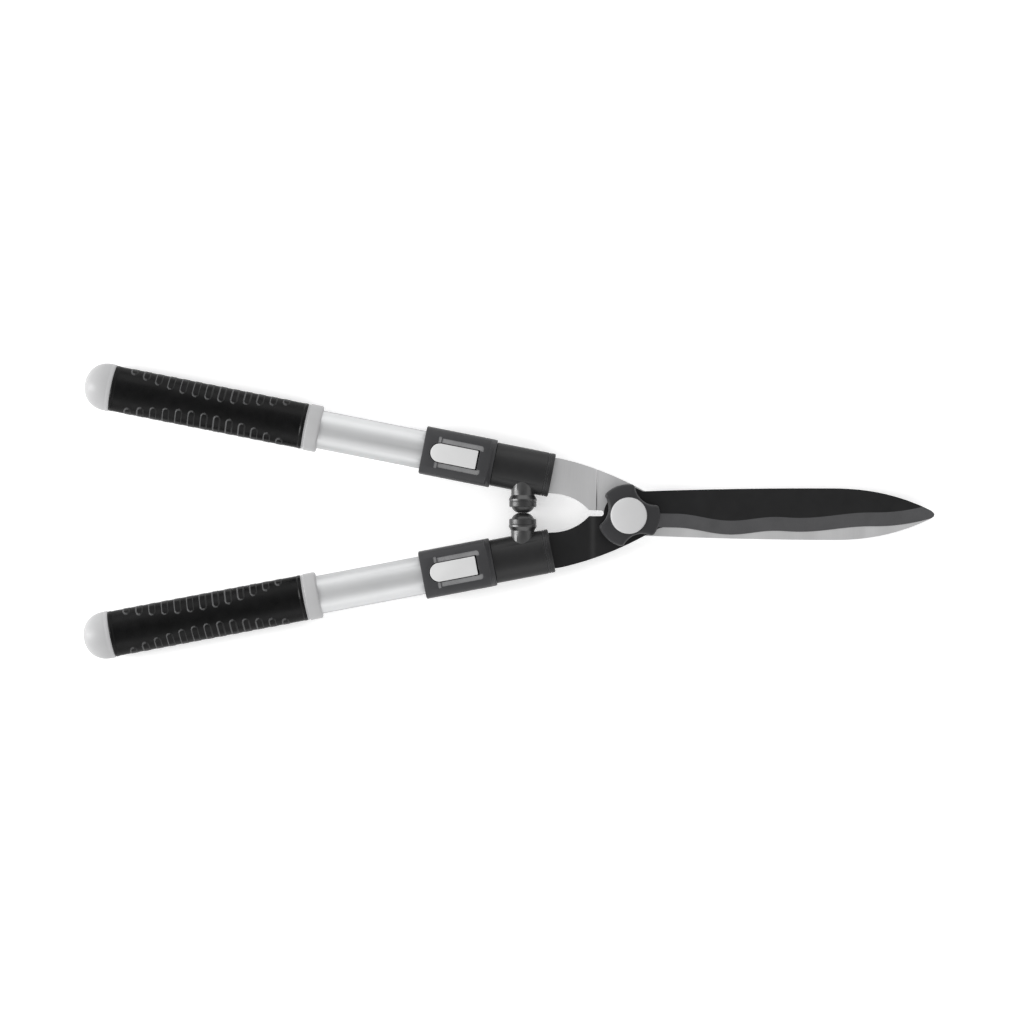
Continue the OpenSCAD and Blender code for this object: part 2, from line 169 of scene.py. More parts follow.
def to_row(points, space, side):
    """Points of a space in metres of the row frame.

    row: the row frame itself. arm: the right arm is the left one's mirror image in the closed
    centreline. handle: X outward along the handle, Y towards the other handle, Z from the tube's
    middle. bumper: Z is the distance from the closed centreline. plate: the arm's plan, Z from
    the blade's inner face outward.
    """
    p = np.array(points, dtype=float)
    if space == "handle":
        c = math.cos(HANDLE_ANGLE)
        s = math.sin(HANDLE_ANGLE)
        x = -p[:, 0] * c - p[:, 1] * s
        y = AXIS_START + p[:, 0] * s - p[:, 1] * c
        p = np.stack([x, y, p[:, 2] + TUBE_Z], axis=1)
    elif space == "bumper":
        p = np.stack([p[:, 0] + BUMPER_X, p[:, 2], TUBE_Z - p[:, 1]], axis=1)
    elif space == "plate":
        p[:, 2] = BOTTOM_INNER_Z - p[:, 2] if side == "left" else TOP_INNER_Z + p[:, 2]
    if space != "row":
        p[:, 1] = CENTRE + p[:, 1] * (1 if side == "left" else -1)
    return p * MM


# ---------------------------------------------------------------- outlines

def rounded(corners, steps=5, closed=False):
    """The points of a line through (x, y, radius) corners, each rounded by an arc."""
    out = []
    n = len(corners)
    for i, (x, y, r) in enumerate(corners):
        if r <= 0 or (not closed and i in (0, n - 1)):
            out.append((x, y))
            continue
        p = np.array([x, y], dtype=float)
        a = np.array(corners[i - 1][:2], dtype=float) - p
        b = np.array(corners[(i + 1) % n][:2], dtype=float) - p
        room = 0.499 * min(np.linalg.norm(a), np.linalg.norm(b))
        a /= np.linalg.norm(a)
        b /= np.linalg.norm(b)
        half = math.acos(max(-1, min(1, float(a @ b)))) / 2
        back = min(r / math.tan(half), room)
        centre = p + (a + b) / np.linalg.norm(a + b) * back / math.cos(half)
        start = p + a * back - centre
        end = p + b * back - centre
        span = math.pi - 2 * half
        for k in range(steps + 1):
            t = k / steps
            v = (start * math.sin((1 - t) * span) + end * math.sin(t * span)) / math.sin(span)
            out.append(tuple(centre + v))
    return out


def circle(r, n=96):
    return [(r * math.cos(2 * math.pi * i / n), r * math.sin(2 * math.pi * i / n)) for i in range(n)]


def rectangle(s0, s1, half):
    return [(s0, -half), (s1, -half), (s1, half), (s0, half)]


def arc(centre, r, start, end, n):
    """Points of an arc that turns the short way round."""
    span = (end - start + math.pi) % (2 * math.pi) - math.pi
    angles = start + span * np.linspace(0, 1, n)
    return [(centre[0] + r * math.cos(a), centre[1] + r * math.sin(a)) for a in angles]


def round_end(x, r):
    """A half circle about (x, 0), from -Y over +X to +Y."""
    return arc((x, 0), r, -math.pi / 2, 0, 20) + arc((x, 0), r, 0, math.pi / 2, 20)[1:]


def oval(size, n=128, grow=0.0):
    """Points and outward normals of the tubes' four-arc oval, evenly spaced."""
    a = size[0] / 2
    b = size[1] / 2
    side_r = 0.6 * b
    face_r = ((a - side_r) ** 2 + b * b - side_r ** 2) / (2 * (b - side_r))
    turn = math.atan2(face_r - b, a - side_r)
    phi = np.linspace(0, 2 * math.pi, 4001)
    fold = np.abs(np.mod(phi + math.pi / 2, math.pi) - math.pi / 2)
    on_side = fold < turn
    cx = np.where(on_side, (a - side_r) * np.sign(np.cos(phi)), 0)
    cy = np.where(on_side, 0, -(face_r - b) * np.sign(np.sin(phi)))
    r = np.where(on_side, side_r, face_r)
    x = cx + r * np.cos(phi)
    y = cy + r * np.sin(phi)
    run = np.concatenate([[0], np.cumsum(np.hypot(np.diff(x), np.diff(y)))])
    at = np.interp(np.arange(n) / n * run[-1], run, phi)
    normal = np.stack([np.cos(at), np.sin(at)], axis=1)
    points = np.stack([np.interp(at, phi, x), np.interp(at, phi, y)], axis=1)
    return points + grow * normal, normal


def ease(t):
    return (1 - math.cos(math.pi * t)) / 2


def edge_half(x):
    """Half width of the wavy cutting edge at x: eased from knot to knot, then curving to the tip."""
    last = EDGE_KNOTS[-1][1]
    if x > TIP_START:
        return last - 7.4 * ((x - TIP_START) / (REACH - TIP_START)) ** 2
    for (x0, h0), (x1, h1) in zip(EDGE_KNOTS, EDGE_KNOTS[1:]):
        if x <= x1:
            return h0 + (h1 - h0) * ease((x - x0) / (x1 - x0))
    return last


def spine_half(x):
    """Half width on the straight side at x, falling slowly to the boss and fast to the tip."""
    if x > SPINE_WIDEST:
        return SPINE_HALF - 4.75 * ((x - SPINE_WIDEST) / 45) ** 2.25
    return SPINE_HALF - 3.05 * ((SPINE_WIDEST - x) / 153.5) ** 2


def handle_point(s, y):
    """Plan of a point of handle space in arm space."""
    c = math.cos(HANDLE_ANGLE)
    sn = math.sin(HANDLE_ANGLE)
    return (-s * c - y * sn, AXIS_START + s * sn - y * c)


def arm_outline(pivot_y):
    """Plan of one arm in arm space: tang and cutting edge on +Y, spine on -Y."""
    tang = [(x, 44.3 - 0.22 * (x + 54.9) - 0.00237 * (x + 54.9) ** 2) for x in range(-55, 15, 3)]
    edge = [(x, edge_half(x)) for x in np.arange(EDGE_START, REACH - 1.5, 1.5)]
    tip = [(REACH - 0.35, 1.35), (REACH - 0.05, 0.5), (REACH - 0.05, -0.4), (REACH - 0.4, -1.3)]
    spine = [(x, -spine_half(x)) for x in np.arange(246, 11, -1.5)]
    boss = [(BOSS_R * math.cos(a), pivot_y + BOSS_R * math.sin(a))
            for a in np.radians(np.arange(256, 186, -3))]
    slot_x = -21.8
    slot = [(slot_x + SLOT_HALF * math.cos(a), SLOT_HALF * math.sin(a))
            for a in np.radians(np.arange(0, 91, 15))]
    cx, cy, cr = CROTCH
    crotch = [(x, cy + math.sqrt(cr * cr - (x - cx) ** 2)) for x in np.arange(-31.3, -62.1, -1.5)]
    mouth = [handle_point(*p) for p in
             ((65.8, 15), (65.8, 10), (86, 10), (86, -10), (65.8, -10), (65.8, -14.4))]
    heel = [(17, 17.35), (19.7, 16.2), (21.6, 14.6), (23.4, 13.2), (25.8, 11.9)]
    return tang + heel + edge + tip + spine + [(6, -20.8)] + boss + slot + crotch + mouth


# ---------------------------------------------------------------- meshes

def level(outline, z):
    """The points of a plan at a height."""
    return [(x, y, z) for x, y in outline]


def prism(outline, z0, z1, lean=0.0):
    """A block between two heights. lean moves its top along -Y by that much per unit of height."""
    n = len(outline)
    low = level(outline, z0)
    high = [(x, y - lean * (z1 - z0), z1) for x, y in outline]
    faces = [tuple(range(n)), tuple(range(2 * n - 1, n - 1, -1))]
    faces += [(i, (i + 1) % n, n + (i + 1) % n, n + i) for i in range(n)]
    return low + high, faces


def loft(rings, loop=False):
    """A skin over rings of equal length. A ring of one point is a pole."""
    verts = []
    faces = []
    starts = []
    for ring in rings:
        starts.append((len(verts), len(ring)))
        verts.extend(tuple(map(float, p)) for p in ring)
    pairs = list(zip(starts, starts[1:])) + ([(starts[-1], starts[0])] if loop else [])
    for (a, na), (b, nb) in pairs:
        n = max(na, nb)
        for i in range(n):
            j = (i + 1) % n
            if na == 1:
                faces.append((a, b + j, b + i))
            elif nb == 1:
                faces.append((a + i, a + j, b))
            else:
                faces.append((a + i, a + j, b + j, b + i))
    if not loop:
        for start, n in (starts[0], starts[-1]):
            if n > 2:
                faces.append(tuple(range(start, start + n)))
    return verts, faces


def revolve(profile, n=96, loop=False):
    """A skin round the Z axis through (radius, height) points."""
    return loft([level([(0, 0)] if r < 1e-6 else circle(r, n), z) for r, z in profile], loop)


def stack(plan, levels):
    """A block whose plan grows from level to level. plan(grow) gives its outline."""
    return loft([level(plan(grow), z) for z, grow in levels])


def section(size, s, grow=0.0, n=128):
    """The ring of an oval at a station along a handle."""
    points, _ = oval(size, n, grow)
    return [(s, y, z) for y, z in points]


def bar(size, profile):
    """A skin along a handle: profile has (station, growth of the oval) points."""
    return loft([section(size, s, grow) for s, grow in profile])


def pipe(size, bore, s0, s1):
    """A tube between two stations, its outer rims rounded."""
    edge = 0.3
    outer = rounded([(s0, -edge, 0), (s0, 0, edge), (s1, 0, edge), (s1, -edge, 0)], 3)
    rings = [section(size, s, grow) for s, grow in outer]
    rings += [section(bore, s) for s in (s1, s0)]
    return loft(rings, loop=True)


def moved(shape, x=0.0, y=0.0, z=0.0):
    return [(p[0] + x, p[1] + y, p[2] + z) for p in shape[0]], shape[1]


def across(shape, s, z):
    """A shape made round Z, laid along a handle's Y at a station and height."""
    return [(p[0] + s, p[2], z - p[1]) for p in shape[0]], shape[1]


def merge(*shapes):
    verts = []
    faces = []
    for v, f in shapes:
        start = len(verts)
        verts.extend(v)
        faces.extend(tuple(i + start for i in face) for face in f)
    return verts, faces


def new_object(name, shape, space="row", side="left"):
    """A mesh object whose faces all point outward."""
    mesh = bpy.data.meshes.new(name)
    mesh.from_pydata([tuple(p) for p in to_row(shape[0], space, side)], [], shape[1])
    bm = bmesh.new()
    bm.from_mesh(mesh)
    bmesh.ops.recalc_face_normals(bm, faces=bm.faces)
    bm.to_mesh(mesh)
    bm.free()
    obj = bpy.data.objects.new(name, mesh)
    bpy.context.scene.collection.objects.link(obj)
    return obj


def apply_modifiers(obj):
    depsgraph = bpy.context.evaluated_depsgraph_get()
    mesh = bpy.data.meshes.new_from_object(obj.evaluated_get(depsgraph))
    obj.modifiers.clear()
    old = obj.data
    obj.data = mesh
    bpy.data.meshes.remove(old)


def carve(obj, other, operation="DIFFERENCE"):
    """Cuts another object out of this one, or joins it, and removes the other."""
    mod = obj.modifiers.new("carve", "BOOLEAN")
    mod.operation = operation
    mod.solver = "EXACT"
    mod.object = other
    apply_modifiers(obj)
    bpy.data.objects.remove(other)


def cut(obj, shape, space, side):
    """Cuts a shape out of the object."""
    carve(obj, new_object("cutter", shape, space, side))


def shade(obj, degrees=35):
    obj.data.shade_smooth()
    obj.data.set_sharp_from_angle(angle=math.radians(degrees))


def round_edges(obj, width):
    mod = obj.modifiers.new("edges", "BEVEL")
    mod.width = width * MM
    mod.segments = 2
    mod.limit_method = "ANGLE"
    mod.angle_limit = math.radians(30)
    mod.harden_normals = True


def place(obj, body, node, finish):
    """The piece rides on a body, stands for its CAD node and gets its finish, if there is one."""
    if finish:
        obj.data.materials.clear()
        obj.data.materials.append(finish)
    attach(obj, body)
    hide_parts(node)


# ---------------------------------------------------------------- materials

def surface(name, base, rough, metallic=0.0, vary=0.12, rough_vary=0.06, grain=900.0,
            bump=0.05, brush=None, edge_wear_and_highlight=None, specular=0.5, patch=60.0, rim=1.0):
    """A procedural finish.

    vary: how far the colour drifts in patches. patch: patches per metre. grain: fine bumps per
    metre. brush: angle in degrees of a drawn or ground grain, stretched along it.
    edge_wear_and_highlight: colour on sharp edges, partly rubbed wear and partly a painted
    highlight along the edges. rim: how much a metal reflects at grazing angles.
    """
    mat = bpy.data.materials.new(name)
    mat.use_nodes = True
    nodes, links = mat.node_tree.nodes, mat.node_tree.links
    shader = nodes["Principled BSDF"]
    shader.inputs["Metallic"].default_value = metallic
    shader.inputs["Specular IOR Level"].default_value = specular
    shader.inputs["Specular Tint"].default_value = (rim, rim, rim, 1)

    coords = nodes.new("ShaderNodeTexCoord")
    turn = nodes.new("ShaderNodeMapping")
    turn.vector_type = "TEXTURE"
    stretch = nodes.new("ShaderNodeMapping")
    if brush is not None:
        turn.inputs["Rotation"].default_value[2] = math.radians(brush)
        stretch.inputs["Scale"].default_value = (0.03, 1, 1)
    links.new(coords.outputs["Object"], turn.inputs["Vector"])
    links.new(turn.outputs["Vector"], stretch.inputs["Vector"])

    def noise(scale, detail, source, roughness=0.6):
        tex = nodes.new("ShaderNodeTexNoise")
        tex.inputs["Scale"].default_value = scale
        tex.inputs["Detail"].default_value = detail
        tex.inputs["Roughness"].default_value = roughness
        links.new(source, tex.inputs["Vector"])
        return tex.outputs["Fac"]

    def span(value, low, high, from_low=0.3, from_high=0.7):
        node = nodes.new("ShaderNodeMapRange")
        node.inputs["From Min"].default_value = from_low
        node.inputs["From Max"].default_value = from_high
        node.inputs["To Min"].default_value = low
        node.inputs["To Max"].default_value = high
        links.new(value, node.inputs["Value"])
        return node.outputs["Result"]

    def blend(factor, first, second):
        node = nodes.new("ShaderNodeMix")
        node.data_type = "RGBA"
        for socket, value in zip((node.inputs["Factor"], node.inputs[6], node.inputs[7]),
                                 (factor, first, second)):
            if isinstance(value, float):
                socket.default_value = value
            elif isinstance(value, tuple):
                socket.default_value = (*value, 1)
            else:
                links.new(value, socket)
        return node.outputs[2]

    patches = noise(patch, 4, turn.outputs["Vector"])
    fine = noise(grain, 3, stretch.outputs["Vector"], 0.65)
    dark = tuple(c * (1 - vary) for c in base)
    light = tuple(min(1.0, c * (1 + vary)) for c in base)
    colour = blend(span(patches, 0, 1), dark, light)
    streaks = blend(span(fine, 0, 1), tuple(c * (1 - vary * 0.6) for c in base), light)
    colour = blend(0.45, colour, streaks)

    # Sharp edges found by the Bevel node take a lighter colour: partly rubbed wear, partly a painted edge
    # highlight.
    if edge_wear_and_highlight:
        corner = nodes.new("ShaderNodeBevel")
        corner.samples = 4
        corner.inputs["Radius"].default_value = 0.0007
        geometry = nodes.new("ShaderNodeNewGeometry")
        dot = nodes.new("ShaderNodeVectorMath")
        dot.operation = "DOT_PRODUCT"
        links.new(corner.outputs["Normal"], dot.inputs[0])
        links.new(geometry.outputs["Normal"], dot.inputs[1])
        edge = span(dot.outputs["Value"], 1, 0, 0.86, 0.985)
        broken = span(noise(grain * 0.5, 2, coords.outputs["Object"]), 0.25, 1, 0.35, 0.6)
        rubbed_and_lit = nodes.new("ShaderNodeMath")
        rubbed_and_lit.operation = "MULTIPLY"
        links.new(edge, rubbed_and_lit.inputs[0])
        links.new(broken, rubbed_and_lit.inputs[1])
        colour = blend(rubbed_and_lit.outputs[0], colour, edge_wear_and_highlight)
    links.new(colour, shader.inputs["Base Color"])

    rough_noise = noise(patch * 3, 4, stretch.outputs["Vector"])
    links.new(span(rough_noise, rough - rough_vary, rough + rough_vary), shader.inputs["Roughness"])
    relief = nodes.new("ShaderNodeBump")
    relief.inputs["Strength"].default_value = bump
    relief.inputs["Distance"].default_value = 0.0002
    links.new(fine, relief.inputs["Height"])
    links.new(relief.outputs["Normal"], shader.inputs["Normal"])
    return mat


# Direction of the drawn grain along each handle
BRUSH = {"left": 180 - HANDLE_DEGREES, "right": HANDLE_DEGREES - 180}

# The edge colours given below are partly rubbed wear and partly painted edge highlights.
STEEL_BRIGHT = surface("bright_steel", (0.715, 0.715, 0.72), 0.42, 1.0, vary=0.05, grain=1500,
                       bump=0.08, brush=88, patch=22, edge_wear_and_highlight=(0.95, 0.95, 0.95))
STEEL_GROUND = surface("ground_steel", (0.105, 0.105, 0.108), 0.42, 1.0, vary=0.12, grain=2500,
                       bump=0.12, brush=86)
BLACK_COAT = surface("black_coating", (0.007, 0.007, 0.0074), 0.42, 0.0, vary=0.3, grain=2600,
                     bump=0.05, edge_wear_and_highlight=(0.09, 0.09, 0.092), specular=0.3)
ZINC = surface("zinc_plate", (0.52, 0.53, 0.54), 0.34, 1.0, vary=0.12, grain=1800, bump=0.06,
               edge_wear_and_highlight=(0.7, 0.7, 0.7))
DARK_STEEL = surface("dark_steel", (0.09, 0.09, 0.092), 0.42, 1.0, vary=0.15, grain=1800, bump=0.06,
                     edge_wear_and_highlight=(0.16, 0.16, 0.162))
ALUMINIUM = {side: surface(f"satin_aluminium_{side}", (0.6, 0.605, 0.61), 0.47, 1.0, vary=0.03,
                           grain=2200, bump=0.05, brush=BRUSH[side], rim=0.3) for side in SIDES}
DARK_PLASTIC = surface("dark_plastic", (0.036, 0.036, 0.038), 0.48, vary=0.12, grain=3500,
                       bump=0.12, edge_wear_and_highlight=(0.11, 0.11, 0.115), specular=0.25)
SOCKET_PLASTIC = surface("socket_plastic", (0.0135, 0.0135, 0.014), 0.36, vary=0.14, grain=3500,
                         bump=0.1, edge_wear_and_highlight=(0.07, 0.07, 0.072), specular=0.3)
STEM_PLASTIC = surface("stem_plastic", (0.009, 0.009, 0.0093), 0.34, vary=0.14, grain=3500,
                       bump=0.06, specular=1.0)
KNOB_PLASTIC = surface("knob_plastic", (0.026, 0.026, 0.0275), 0.46, vary=0.12, grain=3500,
                       bump=0.12, edge_wear_and_highlight=(0.15, 0.15, 0.153), specular=0.25)
LIGHT_PLASTIC = surface("light_plastic", (0.38, 0.38, 0.384), 0.42, vary=0.03, grain=3200,
                        bump=0.05, edge_wear_and_highlight=(0.72, 0.72, 0.72), specular=0.4)
CAP_PLASTIC = surface("cap_plastic", (0.5, 0.5, 0.503), 0.4, vary=0.03, grain=3200, bump=0.05,
                      edge_wear_and_highlight=(0.8, 0.8, 0.8), specular=0.4)
LEVER_PLASTIC = surface("lever_plastic", (0.575, 0.575, 0.575), 0.38, vary=0.03, grain=3200,
                        bump=0.05, edge_wear_and_highlight=(0.95, 0.95, 0.95), specular=0.4)
# Lighter, glossier copy of the housing's plastic for the ledges' flat floors: a painted highlight.
LEDGE_HIGHLIGHT_PLASTIC = surface("ledge_painted_highlight", (0.185, 0.185, 0.188), 0.3, vary=0.25, grain=1400, bump=0.3,
                        specular=0.5)
GUIDE_PLASTIC = surface("guide_plastic", (0.72, 0.70, 0.64), 0.45, vary=0.04, grain=3000, bump=0.05)
# The strong colour patches of this rubber are partly its own mottling and partly painted sheen, standing
# for patchy glossy reflections.
GRIP_RUBBER = surface("grip_rubber", (0.0022, 0.0022, 0.0023), 0.3, vary=0.85, rough_vary=0.12,
                      grain=4200, bump=0.1, edge_wear_and_highlight=(0.02, 0.02, 0.0204), specular=0.14, patch=40)
# Lighter rubbers for the pads' flanks: painted highlights, bright on the cap side and faint on the blade
# side.
GRIP_HIGHLIGHT = surface("grip_painted_highlight", (0.045, 0.045, 0.046), 0.5, vary=0.3, grain=2500, bump=0.1,
                    specular=0.3)
GRIP_FAINT_HIGHLIGHT = surface("grip_faint_painted_highlight", (0.008, 0.008, 0.0082), 0.5, vary=0.3, grain=2500, bump=0.1,
                     specular=0.3)
BUMPER_RUBBER = surface("bumper_rubber", (0.016, 0.016, 0.0164), 0.33, vary=0.2, grain=3600,
                        bump=0.08, edge_wear_and_highlight=(0.03, 0.03, 0.031), specular=0.6)


# ---------------------------------------------------------------- blades

def bevel_cutter():
    """What the grinding wheel takes off, a slanting block that follows the wavy edge."""
    lean = BEVEL_W / (STEEL - EDGE_LAND)
    end = REACH + 8
    clear = 45
    outline = [(x, edge_half(min(max(x, EDGE_START), REACH))) for x in np.arange(BEVEL_START, end, 1.5)]
    outline += [(end, clear), (BEVEL_START, clear)]
    return prism(outline, EDGE_LAND, EDGE_LAND + 4, lean)


def joggle(obj, side):
    """Bends the tang across to the handles' plane, half a thickness away."""
    cuts = 6
    length = JOGGLE_L[side]
    sign = 1 if side == "right" else -1
    bm = bmesh.new()
    bm.from_mesh(obj.data)
    for i in range(cuts + 1):
        x = (JOGGLE_START - length * i / cuts) * MM
        bmesh.ops.bisect_plane(bm, geom=bm.verts[:] + bm.edges[:] + bm.faces[:],
                               plane_co=(x, 0, 0), plane_no=(1, 0, 0))
    for v in bm.verts:
        t = min(1.0, max(0.0, (JOGGLE_START - v.co.x / MM) / length))
        v.co.z += sign * TANG_DROP * MM * t * t * (3 - 2 * t)
    bm.to_mesh(obj.data)
    bm.free()


def make_blade(name, body, side, finish, ground):
    pivot_y = -CENTRE if side == "left" else CENTRE
    play = 0.05 if side == "right" else 0
    blade = new_object(name, prism(arm_outline(pivot_y), 0, STEEL), "plate", side)
    cut(blade, bevel_cutter(), "plate", side)
    cut(blade, moved(prism(circle(BOLT_R + play), -1, STEEL + 1), y=pivot_y), "plate", side)
    joggle(blade, side)
    place(blade, body, name, finish)
    blade.data.materials.append(ground)
    for face in blade.data.polygons:
        ground_face = 0.9 < abs(face.normal.z) < 0.995 and face.center.x > 20 * MM
        face.material_index = int(ground_face)
    shade(blade, 9)
    round_edges(blade, 0.15)


make_blade("bottom_blade", "left_arm", "left", STEEL_BRIGHT, STEEL_GROUND)
make_blade("top_blade", "right_arm", "right", BLACK_COAT, STEEL_GROUND)


# ---------------------------------------------------------------- pivot

def knob_outline(inset):
    """Three lobes between three flutes, their corners rounded, as a curve parallel to the rim."""
    reach = KNOB_R - KNOB_CORNER
    turn = math.acos((reach ** 2 + FLUTE_DISTANCE ** 2 - (FLUTE_R + KNOB_CORNER) ** 2)
                     / (2 * reach * FLUTE_DISTANCE))
    points = []
    for i in range(3):
        mid = math.radians(KNOB_TURN + 120 * i)
        hollow = (FLUTE_DISTANCE * math.cos(mid), FLUTE_DISTANCE * math.sin(mid))
        corners = [(reach * math.cos(mid + s * turn), reach * math.sin(mid + s * turn)) for s in (-1, 1)]
        facing = [math.atan2(hollow[1] - c[1], hollow[0] - c[0]) for c in corners]
        points += arc(corners[0], KNOB_CORNER - inset, mid - turn, facing[0], 12)
        points += arc(hollow, FLUTE_R + inset, facing[0] + math.pi, facing[1] + math.pi, 28)[1:-1]
        points += arc(corners[1], KNOB_CORNER - inset, facing[1], mid + turn, 12)
        points += arc((0, 0), KNOB_R - inset, mid + turn, mid - turn + math.radians(120), 26)[1:-1]
    return points


def make_knob():
    outside = [(1.6, 0), (0.6, 0.25), (0, 1.0), (0, 6), (0, 12.3), (0.12, 13.2), (0.5, 14.1),
               (1.1, 14.7), (1.5, 14.95)]
    cap_seat = [(15.05, 14.95), (14.8, 14.7), (14.8, 14.0)]
    bolt_hole = [(6, 14.0), (6, 10), (5, 10), (5, 8.05)]
    nut_pocket = [(9.9, 8.05), (9.9, 0)]
    rings = [level(knob_outline(inset), z) for inset, z in outside]
    angles = [math.atan2(y, x) for x, y, _ in rings[-1]]
    for r, z in cap_seat + bolt_hole + nut_pocket:
        rings.append([(r * math.cos(a), r * math.sin(a), z) for a in angles])
    knob = new_object("knob", moved(loft(rings, loop=True), z=KNOB_Z))
    place(knob, "knob", "knob", KNOB_PLASTIC)
    shade(knob, 40)


def make_pivot():
    dome = [(0, 2.5), (3, 2.46), (6, 2.33), (9, 2.08), (11, 1.84), (12.6, 1.58), (13.5, 1.38),
            (14.1, 1.14), (14.45, 0.82), (14.6, 0.4), (14.65, -0.1), (14.65, -0.8), (0, -0.8)]
    cap = new_object("knob_cap", moved(revolve(dome, 128), z=KNOB_TOP_Z))
    place(cap, "knob", "knob_cap", CAP_PLASTIC)
    shade(cap, 50)

    hexagon = [level(circle(r, 6), z) for r, z in ((8.3, 0), (9.24, 0.55), (9.24, 5.7))]
    flange = rounded([(0, 5.5, 0), (10.5, 5.5, 0.3), (10.5, 8, 0.4), (4.5, 8, 0), (4.5, 26.4, 0),
                      (4.1, 26.9, 0), (0, 26.9, 0)], 4)
    bolt = new_object("pivot_bolt", merge(loft(hexagon), revolve(flange)))
    place(bolt, "left_arm", "pivot_bolt", ZINC)
    shade(bolt, 25)
    round_edges(bolt, 0.2)

    washer = rounded([(4.8, 0, 0.15), (12.5, 0, 0.25), (12.5, 1, 0.25), (4.8, 1, 0.15)], 3, closed=True)
    flat = new_object("pivot_washer", moved(revolve(washer, 128, loop=True), z=WASHER_Z))
    place(flat, "left_arm", "pivot_washer", ZINC)
    shade(flat)

    dished = rounded([(4.85, 1.0, 0.1), (10.2, 0, 0.1), (11.5, 0, 0.2), (11.5, 0.8, 0.2),
                      (7, 1.8, 0.2), (4.85, 1.8, 0.1)], 3, closed=True)
    spring = new_object("spring_washer", moved(revolve(dished, 128, loop=True), z=SPRING_Z))
    place(spring, "spring", "spring_washer", ZINC)
    shade(spring)


make_knob()
make_pivot()


# ---------------------------------------------------------------- arm fittings

def screw(head_r, head_h, shank_r, shank_h):
    """A pan head screw standing on its head, with a six-sided recess in the head."""
    body = revolve(rounded([(0, 0, 0), (head_r, 0, head_h * 0.4), (head_r, head_h, 0.1),
                            (shank_r, head_h, 0), (shank_r, shank_h, 0), (0, shank_h, 0)], 5), 48)
    return body, prism(circle(head_r * 0.5, 6), -1, head_h * 0.55)


def make_screws(side, name, body, stations, z, size):
    screws = None
    for s in stations:
        solid, recess = screw(*size)
        one = new_object(name, moved(solid, s, 0, z), "handle", side)
        cut(one, moved(recess, s, 0, z), "handle", side)
        if screws is None:
            screws = one
        else:
            carve(screws, one, "UNION")
    screws.name = name
    place(screws, body, name, ZINC)
    shade(screws, 30)


def make_socket(side):
    """The grooved rim is a piece of its own. The rest carries the bumper's stem."""
    start = 68.4
    rim_lines = [(SOCKET_S, -0.9), (SOCKET_S + 0.3, -0.3), (SOCKET_S + 0.9, 0.0), (65.9, 0.0),
                 (66.05, -0.45), (66.45, -0.45), (66.6, 0.0), (67.7, 0.0), (67.85, -0.4),
                 (start, -0.4), (start + 0.4, -0.7), (start + 2, -0.8)]
    rim = new_object(f"{side}_socket_rim", bar(SOCKET, rim_lines), "handle", side)
    place(rim, f"{side}_arm", f"{side}_socket", SOCKET_PLASTIC)
    shade(rim, 40)

    body = [(start, -0.4), (start + 0.2, 0), (LOCK_S - 0.5, 0), (LOCK_S, -0.5)]
    socket = new_object(f"{side}_socket", bar(SOCKET, body), "handle", side)
    ring_z = DOME_H + FLANGE_H
    cone_z = ring_z + RING_H
    stem_z = cone_z + NECK_H
    end_z = stem_z + STEM_L
    neck = rounded([(NECK_R, ring_z, 0.4), (NECK_R, cone_z, 0.3), (STEM_R, stem_z, 1.2),
                    (STEM_R, end_z, 0)], 6)
    neck = [(0, ring_z)] + neck + [(0, end_z)]
    stem = new_object("stem", revolve(neck, 128), "bumper", side)
    for part in (socket, stem):
        part.data.materials.append(SOCKET_PLASTIC)
        part.data.materials.append(STEM_PLASTIC)
    for face in stem.data.polygons:
        face.material_index = 1
    carve(socket, stem, "UNION")
    cuts = [moved(prism(circle(4.0, 48), 0, 3.4), s, 0, -SOCKET[1] / 2 - 1) for s in SOCKET_SCREWS]
    cuts.append(bar(INNER, [(INNER_S, 0.02), (LOCK_S + 2, 0.02)]))
    for shape in cuts:
        cut(socket, shape, "handle", side)
    place(socket, f"{side}_arm", f"{side}_socket", None)
    shade(socket, 40)
    make_screws(side, f"{side}_socket_screws", f"{side}_arm", SOCKET_SCREWS, -SOCKET[1] / 2 + 0.15,
                (3.75, 2.2, 2, 6))


def make_bumper(side):
    cap = DOME_H - BUMPER_GAP
    wide = DOME_R - CONTACT_R
    ball = (wide ** 2 + cap ** 2) / (2 * cap)
    dome = [(r + CONTACT_R, BUMPER_GAP + ball - math.sqrt(ball ** 2 - r * r))
            for r in np.linspace(0, wide, 20)]
    end = DOME_H + FLANGE_H
    flange = rounded([(DOME_R, DOME_H, 0.3), (10.3, DOME_H, 0), (FLANGE_R, DOME_H + 0.5, 0.4),
                      (FLANGE_R, end - 0.1, 0.5), (10, end - 0.1, 0), (4.5, end - 0.1, 0),
                      (4.5, end + 9, 0), (0, end + 9, 0)], 4)
    profile = [(0, BUMPER_GAP)] + dome[:-1] + flange
    bumper = new_object(f"{side}_bumper", revolve(profile, 128), "bumper", side)
    place(bumper, f"{side}_arm", f"{side}_bumper", BUMPER_RUBBER)
    shade(bumper, 40)


def make_inner_tube(side):
    tube = new_object(f"{side}_inner_tube", pipe(INNER, INNER_BORE, INNER_S, INNER_END_S), "handle", side)
    place(tube, f"{side}_arm", f"{side}_inner_tube", ALUMINIUM[side])
    shade(tube, 40)


# ---------------------------------------------------------------- sliding handle

def make_outer_tube(side):
    tube = new_object(f"{side}_outer_tube", pipe(TUBE, TUBE_BORE, OUTER_S, CAP_S), "handle", side)
    cut(tube, prism(rectangle(*WINDOW), 0, 14), "handle", side)
    place(tube, f"{side}_handle", f"{side}_outer_tube", ALUMINIUM[side])
    shade(tube, 40)


